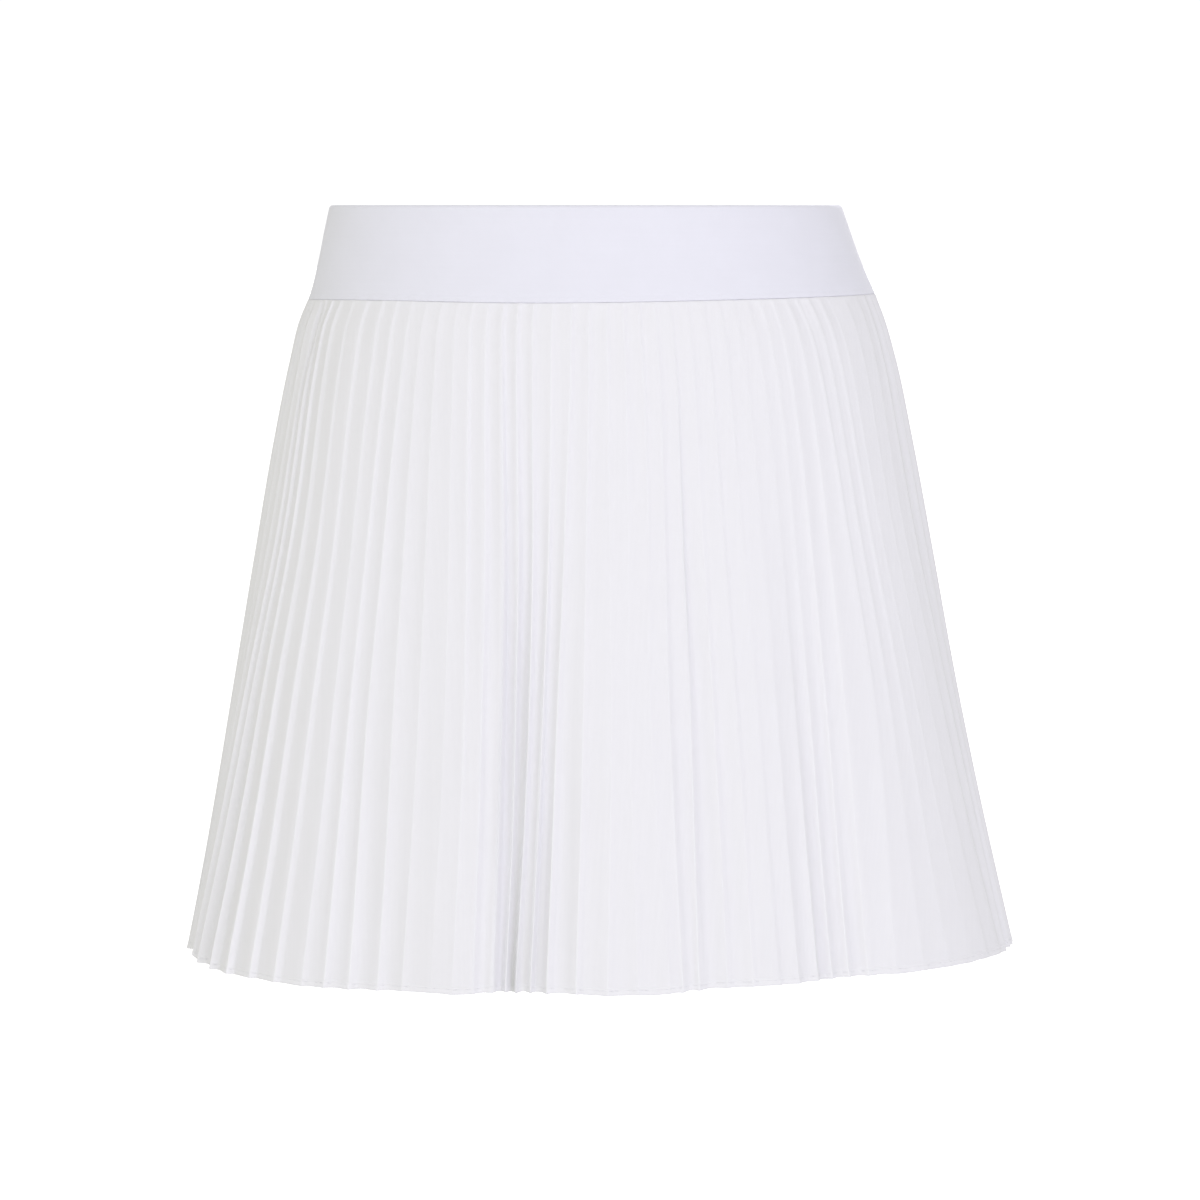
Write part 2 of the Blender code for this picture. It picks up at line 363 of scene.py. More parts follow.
@dataclass(frozen=True)
class Unevenness:
    """Repeatable differences between -1 and 1 from line to line and down each line.

    Attributes:
        seed: What the differences are drawn from.
        together: How many neighbouring lines change alike.
        reach: Metres down a line over which it changes.
        waves: How many waves of different lengths are added up.
        turn: How far a wave shifts from one line to the next, in radians.
        first_length: The shortest wave's length, in reaches.
        longer: How much longer each further wave is, in reaches.
        least: The least that a length is multiplied by.
        most: The most that it is multiplied by.
    """

    seed: int
    together: float
    reach: float
    waves: int = 4
    turn: float = 2.2
    first_length: float = 2.0
    longer: float = 1.3
    least: float = 0.8
    most: float = 1.25

    def table(self, count: int, drops: np.ndarray) -> np.ndarray:
        """Values for every line at every drop.

        Args:
            count: Number of lines.
            drops: Places down the lines, in metres.

        Returns:
            An array of count rows, one column for each drop.
        """
        rng = np.random.default_rng(self.seed)
        total = np.zeros((count, len(drops)))
        for wave in range(self.waves):
            steps = rng.normal(size=count) * self.turn / self.together
            phase = rng.uniform(0.0, 2.0 * math.pi) + np.cumsum(steps)
            length = self.reach * (self.first_length + self.longer * wave)
            length *= rng.uniform(self.least, self.most)
            total += np.sin(2.0 * math.pi * drops[None, :] / length + phase[:, None])
        return total / math.sqrt(2.0 * self.waves)


class Drift(Enum):
    """What differs a little from crease to crease and down the cloth.

    Each value holds the draw that it starts from, how many neighbouring creases change alike, and how many
    metres down the cloth a crease takes to change.
    """

    CREASE_PLACE = (0, 0.9, 0.07)
    PLEAT_DEPTH = (1, 1.2, 0.09)
    FACE_BOW = (2, 1.0, 0.06)
    HEM_LINE = (3, 1.5, 0.30)
    SEAM_TOUCH = (4, 0.8, 0.30)
    PLEAT_PLACE = (5, 1.6, 0.25)
    PLEAT_FULLNESS = (6, 1.1, 0.60)
    VALLEY_PLACE = (7, 1.3, 0.40)
    EDGE_HEIGHT = (8, 1.6, 0.11)

    def table(self, seed: int, count: int, drops: np.ndarray) -> np.ndarray:
        """Values for every line at every drop, for the panel with this seed."""
        draw, together, reach = self.value
        return Unevenness(seed + draw, together, reach).table(count, drops)


class HalfLoop:
    """Half of a level's outline, from the left side seam to the right one."""

    SAMPLES = 1440

    def __init__(self, section: Section, side: Side, gap: float = 0.0, inset: float = 0.0) -> None:
        """Measures the outline.

        Args:
            section: The level, in metres.
            side: The half of the skirt.
            gap: The seam's width, shared with the other half.
            inset: How far inside the garment's outer surface the outline runs.
        """
        depth = section.back if side is Side.BACK else section.front
        self.a = section.half_width - inset
        self.b = (depth - inset) * side.value
        self.shift = section.shift
        self.gap = gap
        self.turns = np.linspace(-math.pi / 2, math.pi / 2, self.SAMPLES + 1)
        steps = np.hypot(np.diff(self.a * np.sin(self.turns)), np.diff(self.b * np.cos(self.turns)))
        self.arcs = np.concatenate(([0.0], np.cumsum(steps)))
        self.length = float(self.arcs[-1])

    def place(self, share: np.ndarray, outward: np.ndarray) -> tuple[np.ndarray, np.ndarray, np.ndarray]:
        """Points at shares of the half outline, moved outward.

        Args:
            share: Shares from the left side seam to the right one.
            outward: Distances along the outline's normal, in metres.

        Returns:
            X, Y and how far across the skirt each point is, from -1 at the left to 1 at the right.
        """
        arc = self.gap / 2 + share * (self.length - self.gap)
        turn = np.interp(arc, self.arcs, self.turns)
        x = self.a * np.sin(turn)
        y = self.b * np.cos(turn)
        normal_x = x / self.a**2
        normal_y = y / self.b**2
        size = np.hypot(normal_x, normal_y)
        return self.shift + x + outward * normal_x / size, y + outward * normal_y / size, np.sin(turn)


@dataclass(frozen=True)
class SkirtForm:
    """The filled-out body that every piece is laid on. Its waist seam is tilted, and lifted at the left."""

    sections: tuple[Section, ...] = SECTIONS
    band_height: float = 47.0 * MM
    band_wall: float = 2.2 * MM
    length: float = 380.0 * MM
    seam_tilt: float = 2.6 * MM
    seam_lift: float = 2.6 * MM
    lift_place: float = -0.85
    lift_reach: float = 0.50

    def section(self, drop: float) -> Section:
        """The level at a drop, read smoothly between the rows of the table, in metres."""
        rows = np.array([astuple(row) for row in self.sections]) * MM
        return Section(drop, *(float(value) for value in read_smoothly(rows[:, 0], rows[:, 1:], drop)))

    def height(self, drop: float, across: np.ndarray) -> np.ndarray:
        """World heights of a drop, with the waist seam tilted and lifted by the way that the skirt hangs.

        Args:
            drop: How far below the waistband's top edge.
            across: Places across the skirt, from -1 at the left to 1 at the right.

        Returns:
            The height at each place, in metres.
        """
        bell = np.exp(-(((across - self.lift_place) / self.lift_reach) ** 2))
        lift = self.seam_lift * bell * (1.0 - self.hung(drop))
        tilted = (self.seam_tilt * across + lift) * min(drop / self.band_height, 1.0)
        return self.band_height / 2 - drop + tilted

    def hung(self, drop: float) -> float:
        """Share of the way from the waist seam, 0, to the hem, 1."""
        return max(0.0, (drop - self.band_height) / (self.length - self.band_height))


class NodeBench:
    """Lays out shader nodes in a material or a group."""

    SPACING = 180.0

    def __init__(self, tree: NodeTree) -> None:
        """Starts on a tree."""
        self.tree = tree
        self.column = 0

    @classmethod
    def for_finish(cls, name: str) -> tuple["NodeBench", Material, Node]:
        """Starts a finish.

        Args:
            name: The material's name.

        Returns:
            The bench, the new material and its surface shader.
        """
        made = bpy.data.materials.new(name)
        made.use_nodes = True
        return cls(made.node_tree), made, made.node_tree.nodes["Principled BSDF"]

    def wire(self, node: Node, sources: dict[str | int, object]) -> None:
        """Links sockets to a node's inputs, or sets the inputs' values.

        Args:
            node: The node.
            sources: A socket or a value for each input, by its name or number.
        """
        for name, source in sources.items():
            if isinstance(source, NodeSocket):
                self.tree.links.new(source, node.inputs[name])
            else:
                node.inputs[name].default_value = source

    def node(self, kind: str, sources: dict[str | int, object] | None = None, **settings: object) -> Node:
        """Adds a node.

        Args:
            kind: The node's type.
            sources: A socket or a value for each of its inputs.
            **settings: Its properties.

        Returns:
            The new node.
        """
        made = self.tree.nodes.new(kind)
        self.column += 1
        made.location = (self.SPACING * self.column, 0.0)
        for name, value in settings.items():
            setattr(made, name, value)
        self.wire(made, sources or {})
        return made

    def group(self, tree: NodeTree, vector: object, **sizes: float) -> Node:
        """Places a group that follows a vector, with the values of its other inputs by name."""
        named = {name.replace("_", " ").title(): size for name, size in sizes.items()}
        return self.node("ShaderNodeGroup", {"Vector": vector, **named}, node_tree=tree)

    def attribute(self, name: str) -> NodeSocket:
        """A value that a piece's points carry."""
        return self.node("ShaderNodeAttribute", attribute_name=name).outputs["Fac"]

    def math(self, operation: str, first: object, second: object = 0.0) -> NodeSocket:
        """The result of a Math node on one or two sockets or numbers."""
        return self.node("ShaderNodeMath", {0: first, 1: second}, operation=operation).outputs[0]

    def weighed(self, *parts: tuple[object, float]) -> NodeSocket:
        """The sum of values, each times its weight.

        Args:
            *parts: Pairs of a value and its weight.

        Returns:
            The sum.
        """
        total = self.math("MULTIPLY", *parts[0])
        for value, weight in parts[1:]:
            total = self.math("ADD", total, self.math("MULTIPLY", value, weight))
        return total

    def about_zero(self, value: object, weight: float) -> NodeSocket:
        """A value from 0 to 1 brought to lie evenly about zero, times a weight."""
        return self.math("MULTIPLY", self.math("SUBTRACT", value, 0.5), weight)

    def stretched(self, vector: object, scale: tuple[float, float, float], turn: float = 0.0) -> NodeSocket:
        """Coordinates scaled, then turned about Z."""
        sources = {"Vector": vector, "Rotation": (0.0, 0.0, turn), "Scale": scale}
        return self.node("ShaderNodeMapping", sources, vector_type="POINT").outputs[0]

    def noise(self, vector: object, detail: float) -> NodeSocket:
        """Smooth noise from 0 to 1, with one cell for each unit of its coordinates."""
        sources = {"Vector": vector, "Scale": 1.0, "Detail": detail, "Roughness": 0.5}
        return self.node("ShaderNodeTexNoise", sources, noise_dimensions="3D").outputs[0]

    def ranged(
        self, value: object, low: float, high: float, to_low: float = 0.0, to_high: float = 1.0
    ) -> NodeSocket:
        """A value carried from one range to another and held inside it."""
        sources = {"Value": value, "From Min": low, "From Max": high, "To Min": to_low, "To Max": to_high}
        return self.node("ShaderNodeMapRange", sources, clamp=True).outputs[0]

    def blend(self, share: object, first: object, second: object) -> NodeSocket:
        """Two colours mixed by a share."""
        sources = {0: share, 6: first, 7: second}
        return self.node("ShaderNodeMix", sources, data_type="RGBA", clamp_factor=True).outputs[2]

    def bump(
        self, height: object, distance: float, strength: float = 0.5, normal: NodeSocket | None = None
    ) -> NodeSocket:
        """A normal raised by a height.

        Args:
            height: The height, from 0 to 1.
            distance: How far a height of 1 stands out, in metres.
            strength: How strongly it shows.
            normal: An earlier normal to lay it over.

        Returns:
            The raised normal.
        """
        over = {} if normal is None else {"Normal": normal}
        sources = {"Height": height, "Distance": distance, "Strength": strength, **over}
        return self.node("ShaderNodeBump", sources).outputs[0]


class ClothPatterns:
    """The shader groups that the skirt's finishes share."""

    def __init__(self) -> None:
        """Builds both groups once."""
        self.weave = self._interlaced_threads()
        self.mottle = self._cloth_unevenness()

    @staticmethod
    def _group(
        name: str, numbers: tuple[str, ...], outputs: tuple[str, ...]
    ) -> tuple[NodeBench, Node, Node]:
        """Starts a group that follows a vector.

        Args:
            name: The group's name.
            numbers: The names of its number inputs.
            outputs: The names of its outputs.

        Returns:
            Its bench, its input node and its output node.
        """
        tree = bpy.data.node_groups.new(name, "ShaderNodeTree")
        tree.interface.new_socket("Vector", in_out="INPUT", socket_type="NodeSocketVector")
        for label in numbers:
            tree.interface.new_socket(label, in_out="INPUT", socket_type="NodeSocketFloat")
        for label in outputs:
            tree.interface.new_socket(label, in_out="OUTPUT", socket_type="NodeSocketFloat")
        bench = NodeBench(tree)
        return bench, bench.node("NodeGroupInput"), bench.node("NodeGroupOutput")

    def _interlaced_threads(self) -> NodeTree:
        """Builds threads that pass over and under each other.

        Returns:
            The group, which takes two pitches in metres and the threads' unevenness.
        """
        numbers = ("Across Pitch", "Down Pitch", "Slub")
        bench, start, end = self._group("interlaced_threads", numbers, ("Height", "Gap"))
        parts = bench.node("ShaderNodeSeparateXYZ", {0: start.outputs["Vector"]})
        waves = []
        for axis, pitch in enumerate(numbers[:2]):
            count = bench.math("DIVIDE", parts.outputs[axis], start.outputs[pitch])
            waves.append(bench.math("SINE", bench.math("MULTIPLY", count, math.pi)))
        rounded = bench.math("POWER", bench.math("ABSOLUTE", bench.math("MULTIPLY", *waves)), 0.6)
        slub = bench.noise(bench.stretched(start.outputs["Vector"], (1400.0, 26.0, 1.0)), 1.0)
        swelled = bench.about_zero(slub, start.outputs["Slub"])
        height = bench.math("ADD", rounded, swelled)
        bench.wire(end, {"Height": height, "Gap": bench.math("SUBTRACT", 1.0, rounded)})
        return bench.tree

    def _cloth_unevenness(self) -> NodeTree:
        """Builds broad soft differences in cloth, and fine lines along its length.

        Returns:
            The group, which takes the size of the broad differences in metres.
        """
        bench, start, end = self._group("cloth_unevenness", ("Broad Size",), ("Broad", "Lines"))
        vector = start.outputs["Vector"]
        size = bench.math("DIVIDE", 1.0, start.outputs["Broad Size"])
        scaled = bench.node("ShaderNodeVectorMath", {0: vector, "Scale": size}, operation="SCALE")
        lines = bench.noise(bench.stretched(vector, (620.0, 9.0, 1.0)), 2.0)
        bench.wire(end, {"Broad": bench.noise(scaled.outputs[0], 3.0), "Lines": lines})
        return bench.tree


@dataclass(frozen=True)
class PressedPleatCloth:
    """Light woven polyester, pressed into pleats: white, with a soft sheen and slightly polished edges, its
    crests lightened by a painted highlight and its deep folds darkened by painted shade.
    """

    shaded: Colour = (0.780, 0.775, 0.806, 1.0)
    plain: Colour = (0.795, 0.790, 0.822, 1.0)
    # Painted highlight, with a little real polish: the lighter colour of the crests. The doubled hem takes it
    # too, as its own lighter tone.
    pressed: Colour = (0.860, 0.857, 0.880, 1.0)
    # Painted shade: a darker, warmer colour laid into the deepest folds.
    sheltered: Colour = (0.765, 0.768, 0.735, 1.0)
    thread_pitch: float = 0.36 * MM
    slub: float = 0.5
    broad_size: float = 24.0 * MM
    crease_share: float = 0.55
    hem_share: float = 0.15
    hollow_share: float = 0.55
    roughness: float = 0.74
    crease_polish: float = 0.12
    patchiness: float = 0.12
    sheen: float = 0.12

    def material(self, patterns: ClothPatterns) -> Material:
        """Builds the finish.

        Args:
            patterns: The shared shader groups.

        Returns:
            The pleated cloth's material.
        """
        bench, made, shader = NodeBench.for_finish("pressed_pleat_cloth")
        cut = bench.node("ShaderNodeUVMap", uv_map="cut").outputs[0]
        pitch = self.thread_pitch
        weave = bench.group(patterns.weave, cut, across_pitch=pitch, down_pitch=pitch * 1.15, slub=self.slub)
        mottle = bench.group(patterns.mottle, cut, broad_size=self.broad_size).outputs
        streaks = bench.noise(bench.stretched(cut, (900.0, 60.0, 1.0), math.radians(32.0)), 2.0)
        tone = bench.weighed(
            (mottle["Lines"], 0.5), (mottle["Broad"], 0.3), (streaks, 0.2), (weave.outputs["Gap"], -0.12)
        )
        cloth = bench.blend(bench.ranged(tone, 0.30, 0.62), self.shaded, self.plain)
        # Painted shade: the deepest folds take the darker, warmer colour.
        hollow = bench.math("MULTIPLY", bench.attribute("hollow"), self.hollow_share)
        cloth = bench.blend(hollow, cloth, self.sheltered)
        # Painted highlight: the crests lighten towards the crest colour, more where the pleat is deep. The
        # doubled hem lightens for its two layers.
        crease = bench.attribute("crease")
        hem = bench.math("MULTIPLY", bench.attribute("doubled"), self.hem_share)
        edge = bench.math("MAXIMUM", bench.math("MULTIPLY", crease, self.crease_share), hem)
        smoother = bench.math("SUBTRACT", self.roughness, bench.math("MULTIPLY", crease, self.crease_polish))
        patches = bench.about_zero(mottle["Broad"], self.patchiness)
        dents = bench.bump(mottle["Broad"], 0.4 * MM)
        yarns = bench.bump(mottle["Lines"], 0.03 * MM, normal=dents)
        ribs = bench.bump(streaks, 0.03 * MM, normal=yarns)
        bench.wire(shader, {
            "Base Color": bench.blend(edge, cloth, self.pressed),
            "Roughness": bench.math("ADD", smoother, patches),
            "Normal": bench.bump(weave.outputs["Height"], 0.05 * MM, normal=ribs),
            "Sheen Weight": self.sheen,
            "Sheen Roughness": 0.45,
            "Specular IOR Level": 0.35,
        })
        return made


@dataclass(frozen=True)
class CoveredElastic:
    """Elastic covered in fine smooth knit: a cooler white than the cloth, with small stitches in rows."""

    shaded: Colour = (0.757, 0.755, 0.828, 1.0)
    plain: Colour = (0.778, 0.776, 0.852, 1.0)
    stitch_pitch: float = 0.42 * MM
    slub: float = 0.25
    broad_size: float = 18.0 * MM
    roughness: float = 0.62
    patchiness: float = 0.14
    sheen: float = 0.26

    def material(self, patterns: ClothPatterns) -> Material:
        """Builds the finish.

        Args:
            patterns: The shared shader groups.

        Returns:
            The waistband's material.
        """
        bench, made, shader = NodeBench.for_finish("covered_elastic")
        cut = bench.node("ShaderNodeUVMap", uv_map="cut").outputs[0]
        pitch = self.stitch_pitch
        knit = bench.group(patterns.weave, cut, across_pitch=pitch, down_pitch=pitch * 0.8, slub=self.slub)
        broad = bench.group(patterns.mottle, cut, broad_size=self.broad_size).outputs["Broad"]
        rows = bench.noise(bench.stretched(cut, (14.0, 900.0, 1.0)), 1.0)
        tone = bench.weighed((broad, 0.5), (rows, 0.2), (knit.outputs["Gap"], -0.15))
        ribs = bench.bump(rows, 0.02 * MM, normal=bench.bump(broad, 0.12 * MM))
        bench.wire(shader, {
            "Base Color": bench.blend(bench.ranged(tone, 0.15, 0.50), self.shaded, self.plain),
            "Roughness": bench.math("ADD", self.roughness, bench.about_zero(broad, self.patchiness)),
            "Normal": bench.bump(knit.outputs["Height"], 0.06 * MM, normal=ribs),
            "Sheen Weight": self.sheen,
            "Sheen Roughness": 0.4,
            "Specular IOR Level": 0.35,
        })
        return made


@dataclass(frozen=True)
class SewingThread:
    """Twisted white sewing thread with a slight gloss."""

    groove: Colour = (0.66, 0.66, 0.69, 1.0)
    strand: Colour = (0.82, 0.82, 0.85, 1.0)
    twist_pitch: float = 0.22 * MM
    twist: float = math.radians(35.0)
    roughness: float = 0.48
    groove_roughness: float = 0.70

    def material(self, patterns: ClothPatterns) -> Material:
        """Builds the finish.

        Args:
            patterns: The shared shader groups.

        Returns:
            The thread's material.
        """
        bench, made, shader = NodeBench.for_finish("sewing_thread")
        place = bench.node("ShaderNodeTexCoord").outputs["Object"]
        turned = bench.stretched(place, (1.0, 1.0, 1.0), self.twist)
        pitch = self.twist_pitch
        weave = bench.group(patterns.weave, turned, across_pitch=pitch, down_pitch=pitch * 6.0, slub=0.1)
        height, gap = weave.outputs["Height"], weave.outputs["Gap"]
        bench.wire(shader, {
            "Base Color": bench.blend(bench.ranged(height, 0.2, 0.8), self.groove, self.strand),
            "Roughness": bench.ranged(gap, 0.0, 1.0, self.roughness, self.groove_roughness),
            "Normal": bench.bump(height, 0.03 * MM, 0.6),
            "Sheen Weight": 0.15,
        })
        return made


def finished(name: str, shape: BMesh, finish: Material) -> Object:
    """Makes a shape a piece of the skirt.

    Args:
        name: The piece's name.
        shape: Its shape, in place, which is used up.
        finish: Its material.

    Returns:
        The new object, which rides on the skirt's only body.
    """
    mesh = bpy.data.meshes.new(name)
    shape.to_mesh(mesh)
    shape.free()
    mesh.shade_smooth()
    mesh.materials.append(finish)
    piece = bpy.data.objects.new(name, mesh)
    bpy.context.scene.collection.objects.link(piece)
    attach(piece, "root")
    return piece


@dataclass(frozen=True)
class Stitch:
    """One stitch: its middle, its direction, the cloth's outward direction and its length in metres."""

    middle: Vector
    along: Vector
    out: Vector
    length: float


@dataclass
class Stitching:
    """Short stitches of sewing thread, each a slim bead lying on the cloth."""

    name: str
    thread_radius: float = 0.13 * MM
    sides: int = 6
    rings: int = 4
    stitches: list[Stitch] = field(default_factory=list)

    def build(self, finish: Material) -> Object:
        """Builds all stitches as one piece.

        Args:
            finish: The thread's material.

        Returns:
            The stitching.
        """
        threads = bmesh.new()
        for stitch in self.stitches:
            along = stitch.along.normalized()
            side = along.cross(stitch.out.normalized()).normalized()
            turned = Matrix((side, along.cross(side), along)).transposed().to_4x4()
            shape = Matrix.Diagonal((self.thread_radius, self.thread_radius, stitch.length / 2.0, 1.0))
            bmesh.ops.create_uvsphere(
                threads,
                u_segments=self.sides,
                v_segments=self.rings,
                radius=1.0,
                matrix=Matrix.Translation(stitch.middle) @ turned @ shape,
            )
        bmesh.ops.recalc_face_normals(threads, faces=threads.faces)
        return finished(self.name, threads, finish)


@dataclass(frozen=True)
class Row:
    """A line of points across a panel.

    Attributes:
        drop: Where the line runs.
        inset: How far it lies inside the outline.
        depth: The share of their depth that its pleats have.
        puff: The share of the rounded swelling under the waist seam that its pleats have.
        raised: How far it stands out where the hem is doubled.
    """

    drop: float
    inset: float
    depth: float
    puff: float = 0.0
    raised: float = 0.0


@dataclass(frozen=True)
class Differences:
    """What differs from crease to crease along a row.

    The lengths sideways, rise and hem are in metres, depth multiplies each pleat's own, bow is a share of it,
    and touch and settled run from 0 to 1.
    """

    sideways: np.ndarray
    depth: np.ndarray
    bow: np.ndarray
    rise: np.ndarray
    hem: np.ndarray
    touch: np.ndarray
    settled: float


@dataclass(frozen=True)
class LaidCloth:
    """Where cloth lies, hung and flat, how near a crease it is, which places the painted highlight, and how
    deep in a fold, which places the painted shade, both from 0 to 1.
    """

    points: np.ndarray
    cut: np.ndarray
    crease: np.ndarray
    hollow: np.ndarray


@dataclass
class PleatedPanel:
    """Half of the skirt: cloth pressed into narrow pleats, tucked behind the waistband and hemmed."""

    form: SkirtForm
    side: Side
    main_pleats: tuple[MainPleat, ...]
    folds: tuple[Fold, ...]
    fans: tuple[Fan, ...]
    tucks: tuple[Tuck, ...]
    seed: int
    pleats: int = 48
    wall: float = 0.42 * MM
    seam_gap: float = 0.05 * MM
    tuck_depth: float = 7.5 * MM
    tuck_gap: float = 0.45 * MM
    row_step: float = 5.6 * MM
    hem_step: float = 0.14 * MM
    crease_half: float = 0.36 * MM
    crease_limits: tuple[float, float] = (0.04, 0.20)
    valley_share: float = 0.24
    crease_roundness: float = 0.70
    face_curve: float = 2.7
    flat_breadth: float = 0.75
    hollow_breadth: float = 0.50
    least_curve: float = 0.10
    face_bow: float = 0.10
    valley_lean: float = 0.12
    edge_wander: float = 0.80 * MM
    edge_rise: float = 0.40 * MM
    rise_full: float = 2.0 * MM
    crease_wander: float = 0.14 * MM
    depth_unevenness: float = 0.22
    depth_spread: float = 0.26
    settle_share: float = 0.125
    puff: float = 0.35 * MM
    seam_touch: float = 0.75
    hem_wander: float = 0.35 * MM
    # The crease mark that places the painted highlight: the depth at which it is full, its least share and
    # its share beside the crest.
    sharp_depth: float = 2.5 * MM
    least_mark: float = 0.25
    beside_mark: float = 0.45
    # The depths below the outline over which painted shade fills the deepest folds.
    hollow_from: float = 5.8 * MM
    hollow_full: float = 9.0 * MM
    stitch_length: float = 1.9 * MM
    stitch_spacing: float = 2.6 * MM
    stitch_fill: float = 0.8
    stitch_lift: float = 0.10 * MM
    overlock_radius: float = 0.16 * MM
    overlock_length: float = 3.1 * MM
    overlock_drop: float = 1.5 * MM
    overlock_lift: float = 0.12 * MM
    overlock_steepness: float = 3.0
    points: np.ndarray = field(init=False, repr=False)

    def rows(self) -> list[Row]:
        """Sets out the panel's rows.

        Returns:
            The rows from the raw edge inside the waistband down to the hem.
        """
        band = self.form.band_height
        tucked = self.form.band_wall + self.tuck_gap
        rows = [
            Row(band - self.tuck_depth, tucked, 0.15),
            Row(band - self.tuck_depth / 2, tucked, 0.15),
            Row(band - 0.3 * MM, tucked, 0.20),
            Row(band + 0.1 * MM, 0.50 * MM, 0.25, 0.2),
            Row(band + 0.4 * MM, 0.05 * MM, 0.45, 0.7),
            Row(band + 0.9 * MM, 0.0, 0.65, 1.0),
            Row(band + 1.7 * MM, 0.0, 0.80, 1.0),
            Row(band + 2.8 * MM, 0.0, 0.95, 0.7),
            Row(band + 4.6 * MM, 0.0, 1.0, 0.3),
        ]
        first = band + 7.0 * MM
        last = self.form.length - HEM_ROWS[0].above - 0.6 * MM
        count = round((last - first) / self.row_step)
        rows += [Row(float(drop), 0.0, 1.0) for drop in np.linspace(first, last, count + 1)]
        for hem in HEM_ROWS:
            rows.append(Row(self.form.length - hem.above, 0.0, 1.0, raised=hem.raised * self.hem_step))
        return rows

    def creases(self, drop: float) -> tuple[np.ndarray, np.ndarray]:
        """Where the panel's creases lie at a drop.

        Args:
            drop: The level, in metres.

        Returns:
            The creases' shares of the panel, valleys and edges in turn, and the depth of the pleats at each.
        """
        table = np.array([astuple(pleat) for pleat in self.main_pleats])
        numbers, levels = np.arange(self.pleats), len(PLACE_DROPS)
        columns = np.array([np.interp(numbers, table[:, 0], column) for column in table.T[1:]])
        edges = read_smoothly(np.array(PLACE_DROPS), columns[:levels], drop / MM) / 1000.0
        depths = read_smoothly(np.array(DEPTH_DROPS), columns[levels + 1:], drop / MM) * MM
        shares = np.linspace(0.0, 1.0, 2 * self.pleats + 1)
        shares[1::2] = edges
        leans = Drift.VALLEY_PLACE.table(self.seed, self.pleats - 1, np.array([drop]))[:, 0]
        shares[2:-1:2] = edges[:-1] + np.diff(edges) * (columns[levels, :-1] + self.valley_lean * leans)
        return shares, np.interp(shares, edges, depths)

    def differences(self, drops: np.ndarray) -> list[Differences]:
        """What differs from crease to crease, row by row.

        Args:
            drops: Where the rows run.

        Returns:
            The differences along each row.
        """
        faces = 2 * self.pleats
        creases = faces + 1
        settled = np.array([min(self.form.hung(drop) / self.settle_share, 1.0) for drop in drops])
        sideways = Drift.CREASE_PLACE.table(self.seed, creases, drops) * self.crease_wander
        sideways += Drift.PLEAT_PLACE.table(self.seed, creases, drops) * self.edge_wander
        spread = Drift.PLEAT_DEPTH.table(self.seed, creases, drops) * self.depth_spread
        spread += Drift.PLEAT_FULLNESS.table(self.seed, creases, drops) * self.depth_unevenness
        columns = (
            sideways * settled,
            1.0 + spread,
            Drift.FACE_BOW.table(self.seed, faces, drops) * self.face_bow * settled,
            Drift.EDGE_HEIGHT.table(self.seed, creases, drops) * self.edge_rise * settled,
            Drift.HEM_LINE.table(self.seed, creases, drops) * self.hem_wander,
            np.clip(0.5 + Drift.SEAM_TOUCH.table(self.seed, creases, drops), 0.0, 1.0),
        )
        return [
            Differences(*(column[:, row] for column in columns), settled=float(settled[row]))
            for row in range(len(drops))
        ]

    def folded(self, share: np.ndarray, drop: float, column: str) -> np.ndarray:
        """Sum of one column of the large folds' effects across the panel, in metres."""
        return sum(getattr(fold, column) * fold.opened(drop) * fold.bell(share) for fold in self.folds) * MM

    def crease_line(
        self, row: Row, differs: Differences, length: float
    ) -> tuple[np.ndarray, np.ndarray, np.ndarray]:
        """Lays the creases of a row.

        Args:
            row: The row.
            differs: What differs along it.
            length: The outline's length there.

        Returns:
            Each crease's share of the outline, its pleat's depth and how far it stands out from the outline.
        """
        shares, depths = self.creases(row.drop)
        below_seam = row.drop - self.form.band_height
        fanned = sum(fan.moved(shares, below_seam) for fan in self.fans)
        moved = shares + (differs.sideways + fanned) / length
        moved[[0, -1]] = (0.0, 1.0)
        depth = row.depth * depths * differs.depth
        outward = self.folded(shares, row.drop, "swell") + row.raised + row.puff * self.puff * differs.touch
        if row.puff:
            outward += row.inset * self.seam_touch * differs.touch
        outward -= sum(tuck.pressed(shares, below_seam) for tuck in self.tucks)
        outward[::2] -= depth[::2]
        outward[1::2] += differs.rise[1::2] * np.minimum(depth[1::2] / self.rise_full, 1.0)
        return moved, depth, outward

    def breaks(self, pitch: np.ndarray) -> np.ndarray:
        """Where the columns of each face stand between its two creases.

        Args:
            pitch: The faces' widths, in metres.

        Returns:
            Four shares for each face.
        """
        near = np.clip(self.crease_half / pitch, *self.crease_limits)
        rising = np.arange(len(pitch)) % 2 == 0
        start = np.where(rising, self.valley_share, near)
        stop = np.where(rising, near, self.valley_share)
        return np.stack((np.zeros_like(near), start, (1.0 + start - stop) / 2, 1.0 - stop), axis=1)

    def sagged(self, steps: np.ndarray, pitch: np.ndarray) -> np.ndarray:
        """How far faces hang in between a round valley and a sharp edge, a pleat's wider face the least.

        Args:
            steps: Where the columns of each face stand.
            pitch: The faces' widths, in metres.

        Returns:
            The sag at each column, as a share of the pleat's depth.
        """
        rising = np.arange(len(steps)) % 2 == 0
        from_valley = np.where(rising[:, None], steps, 1.0 - steps)
        breadth = pitch / np.repeat(pitch[::2] + pitch[1::2], 2)
        narrow = (self.flat_breadth - breadth) / (self.flat_breadth - self.hollow_breadth)
        curve = 1.0 + (self.face_curve - 1.0) * np.clip(narrow, self.least_curve, 1.0)
        return from_valley - from_valley ** curve[:, None]

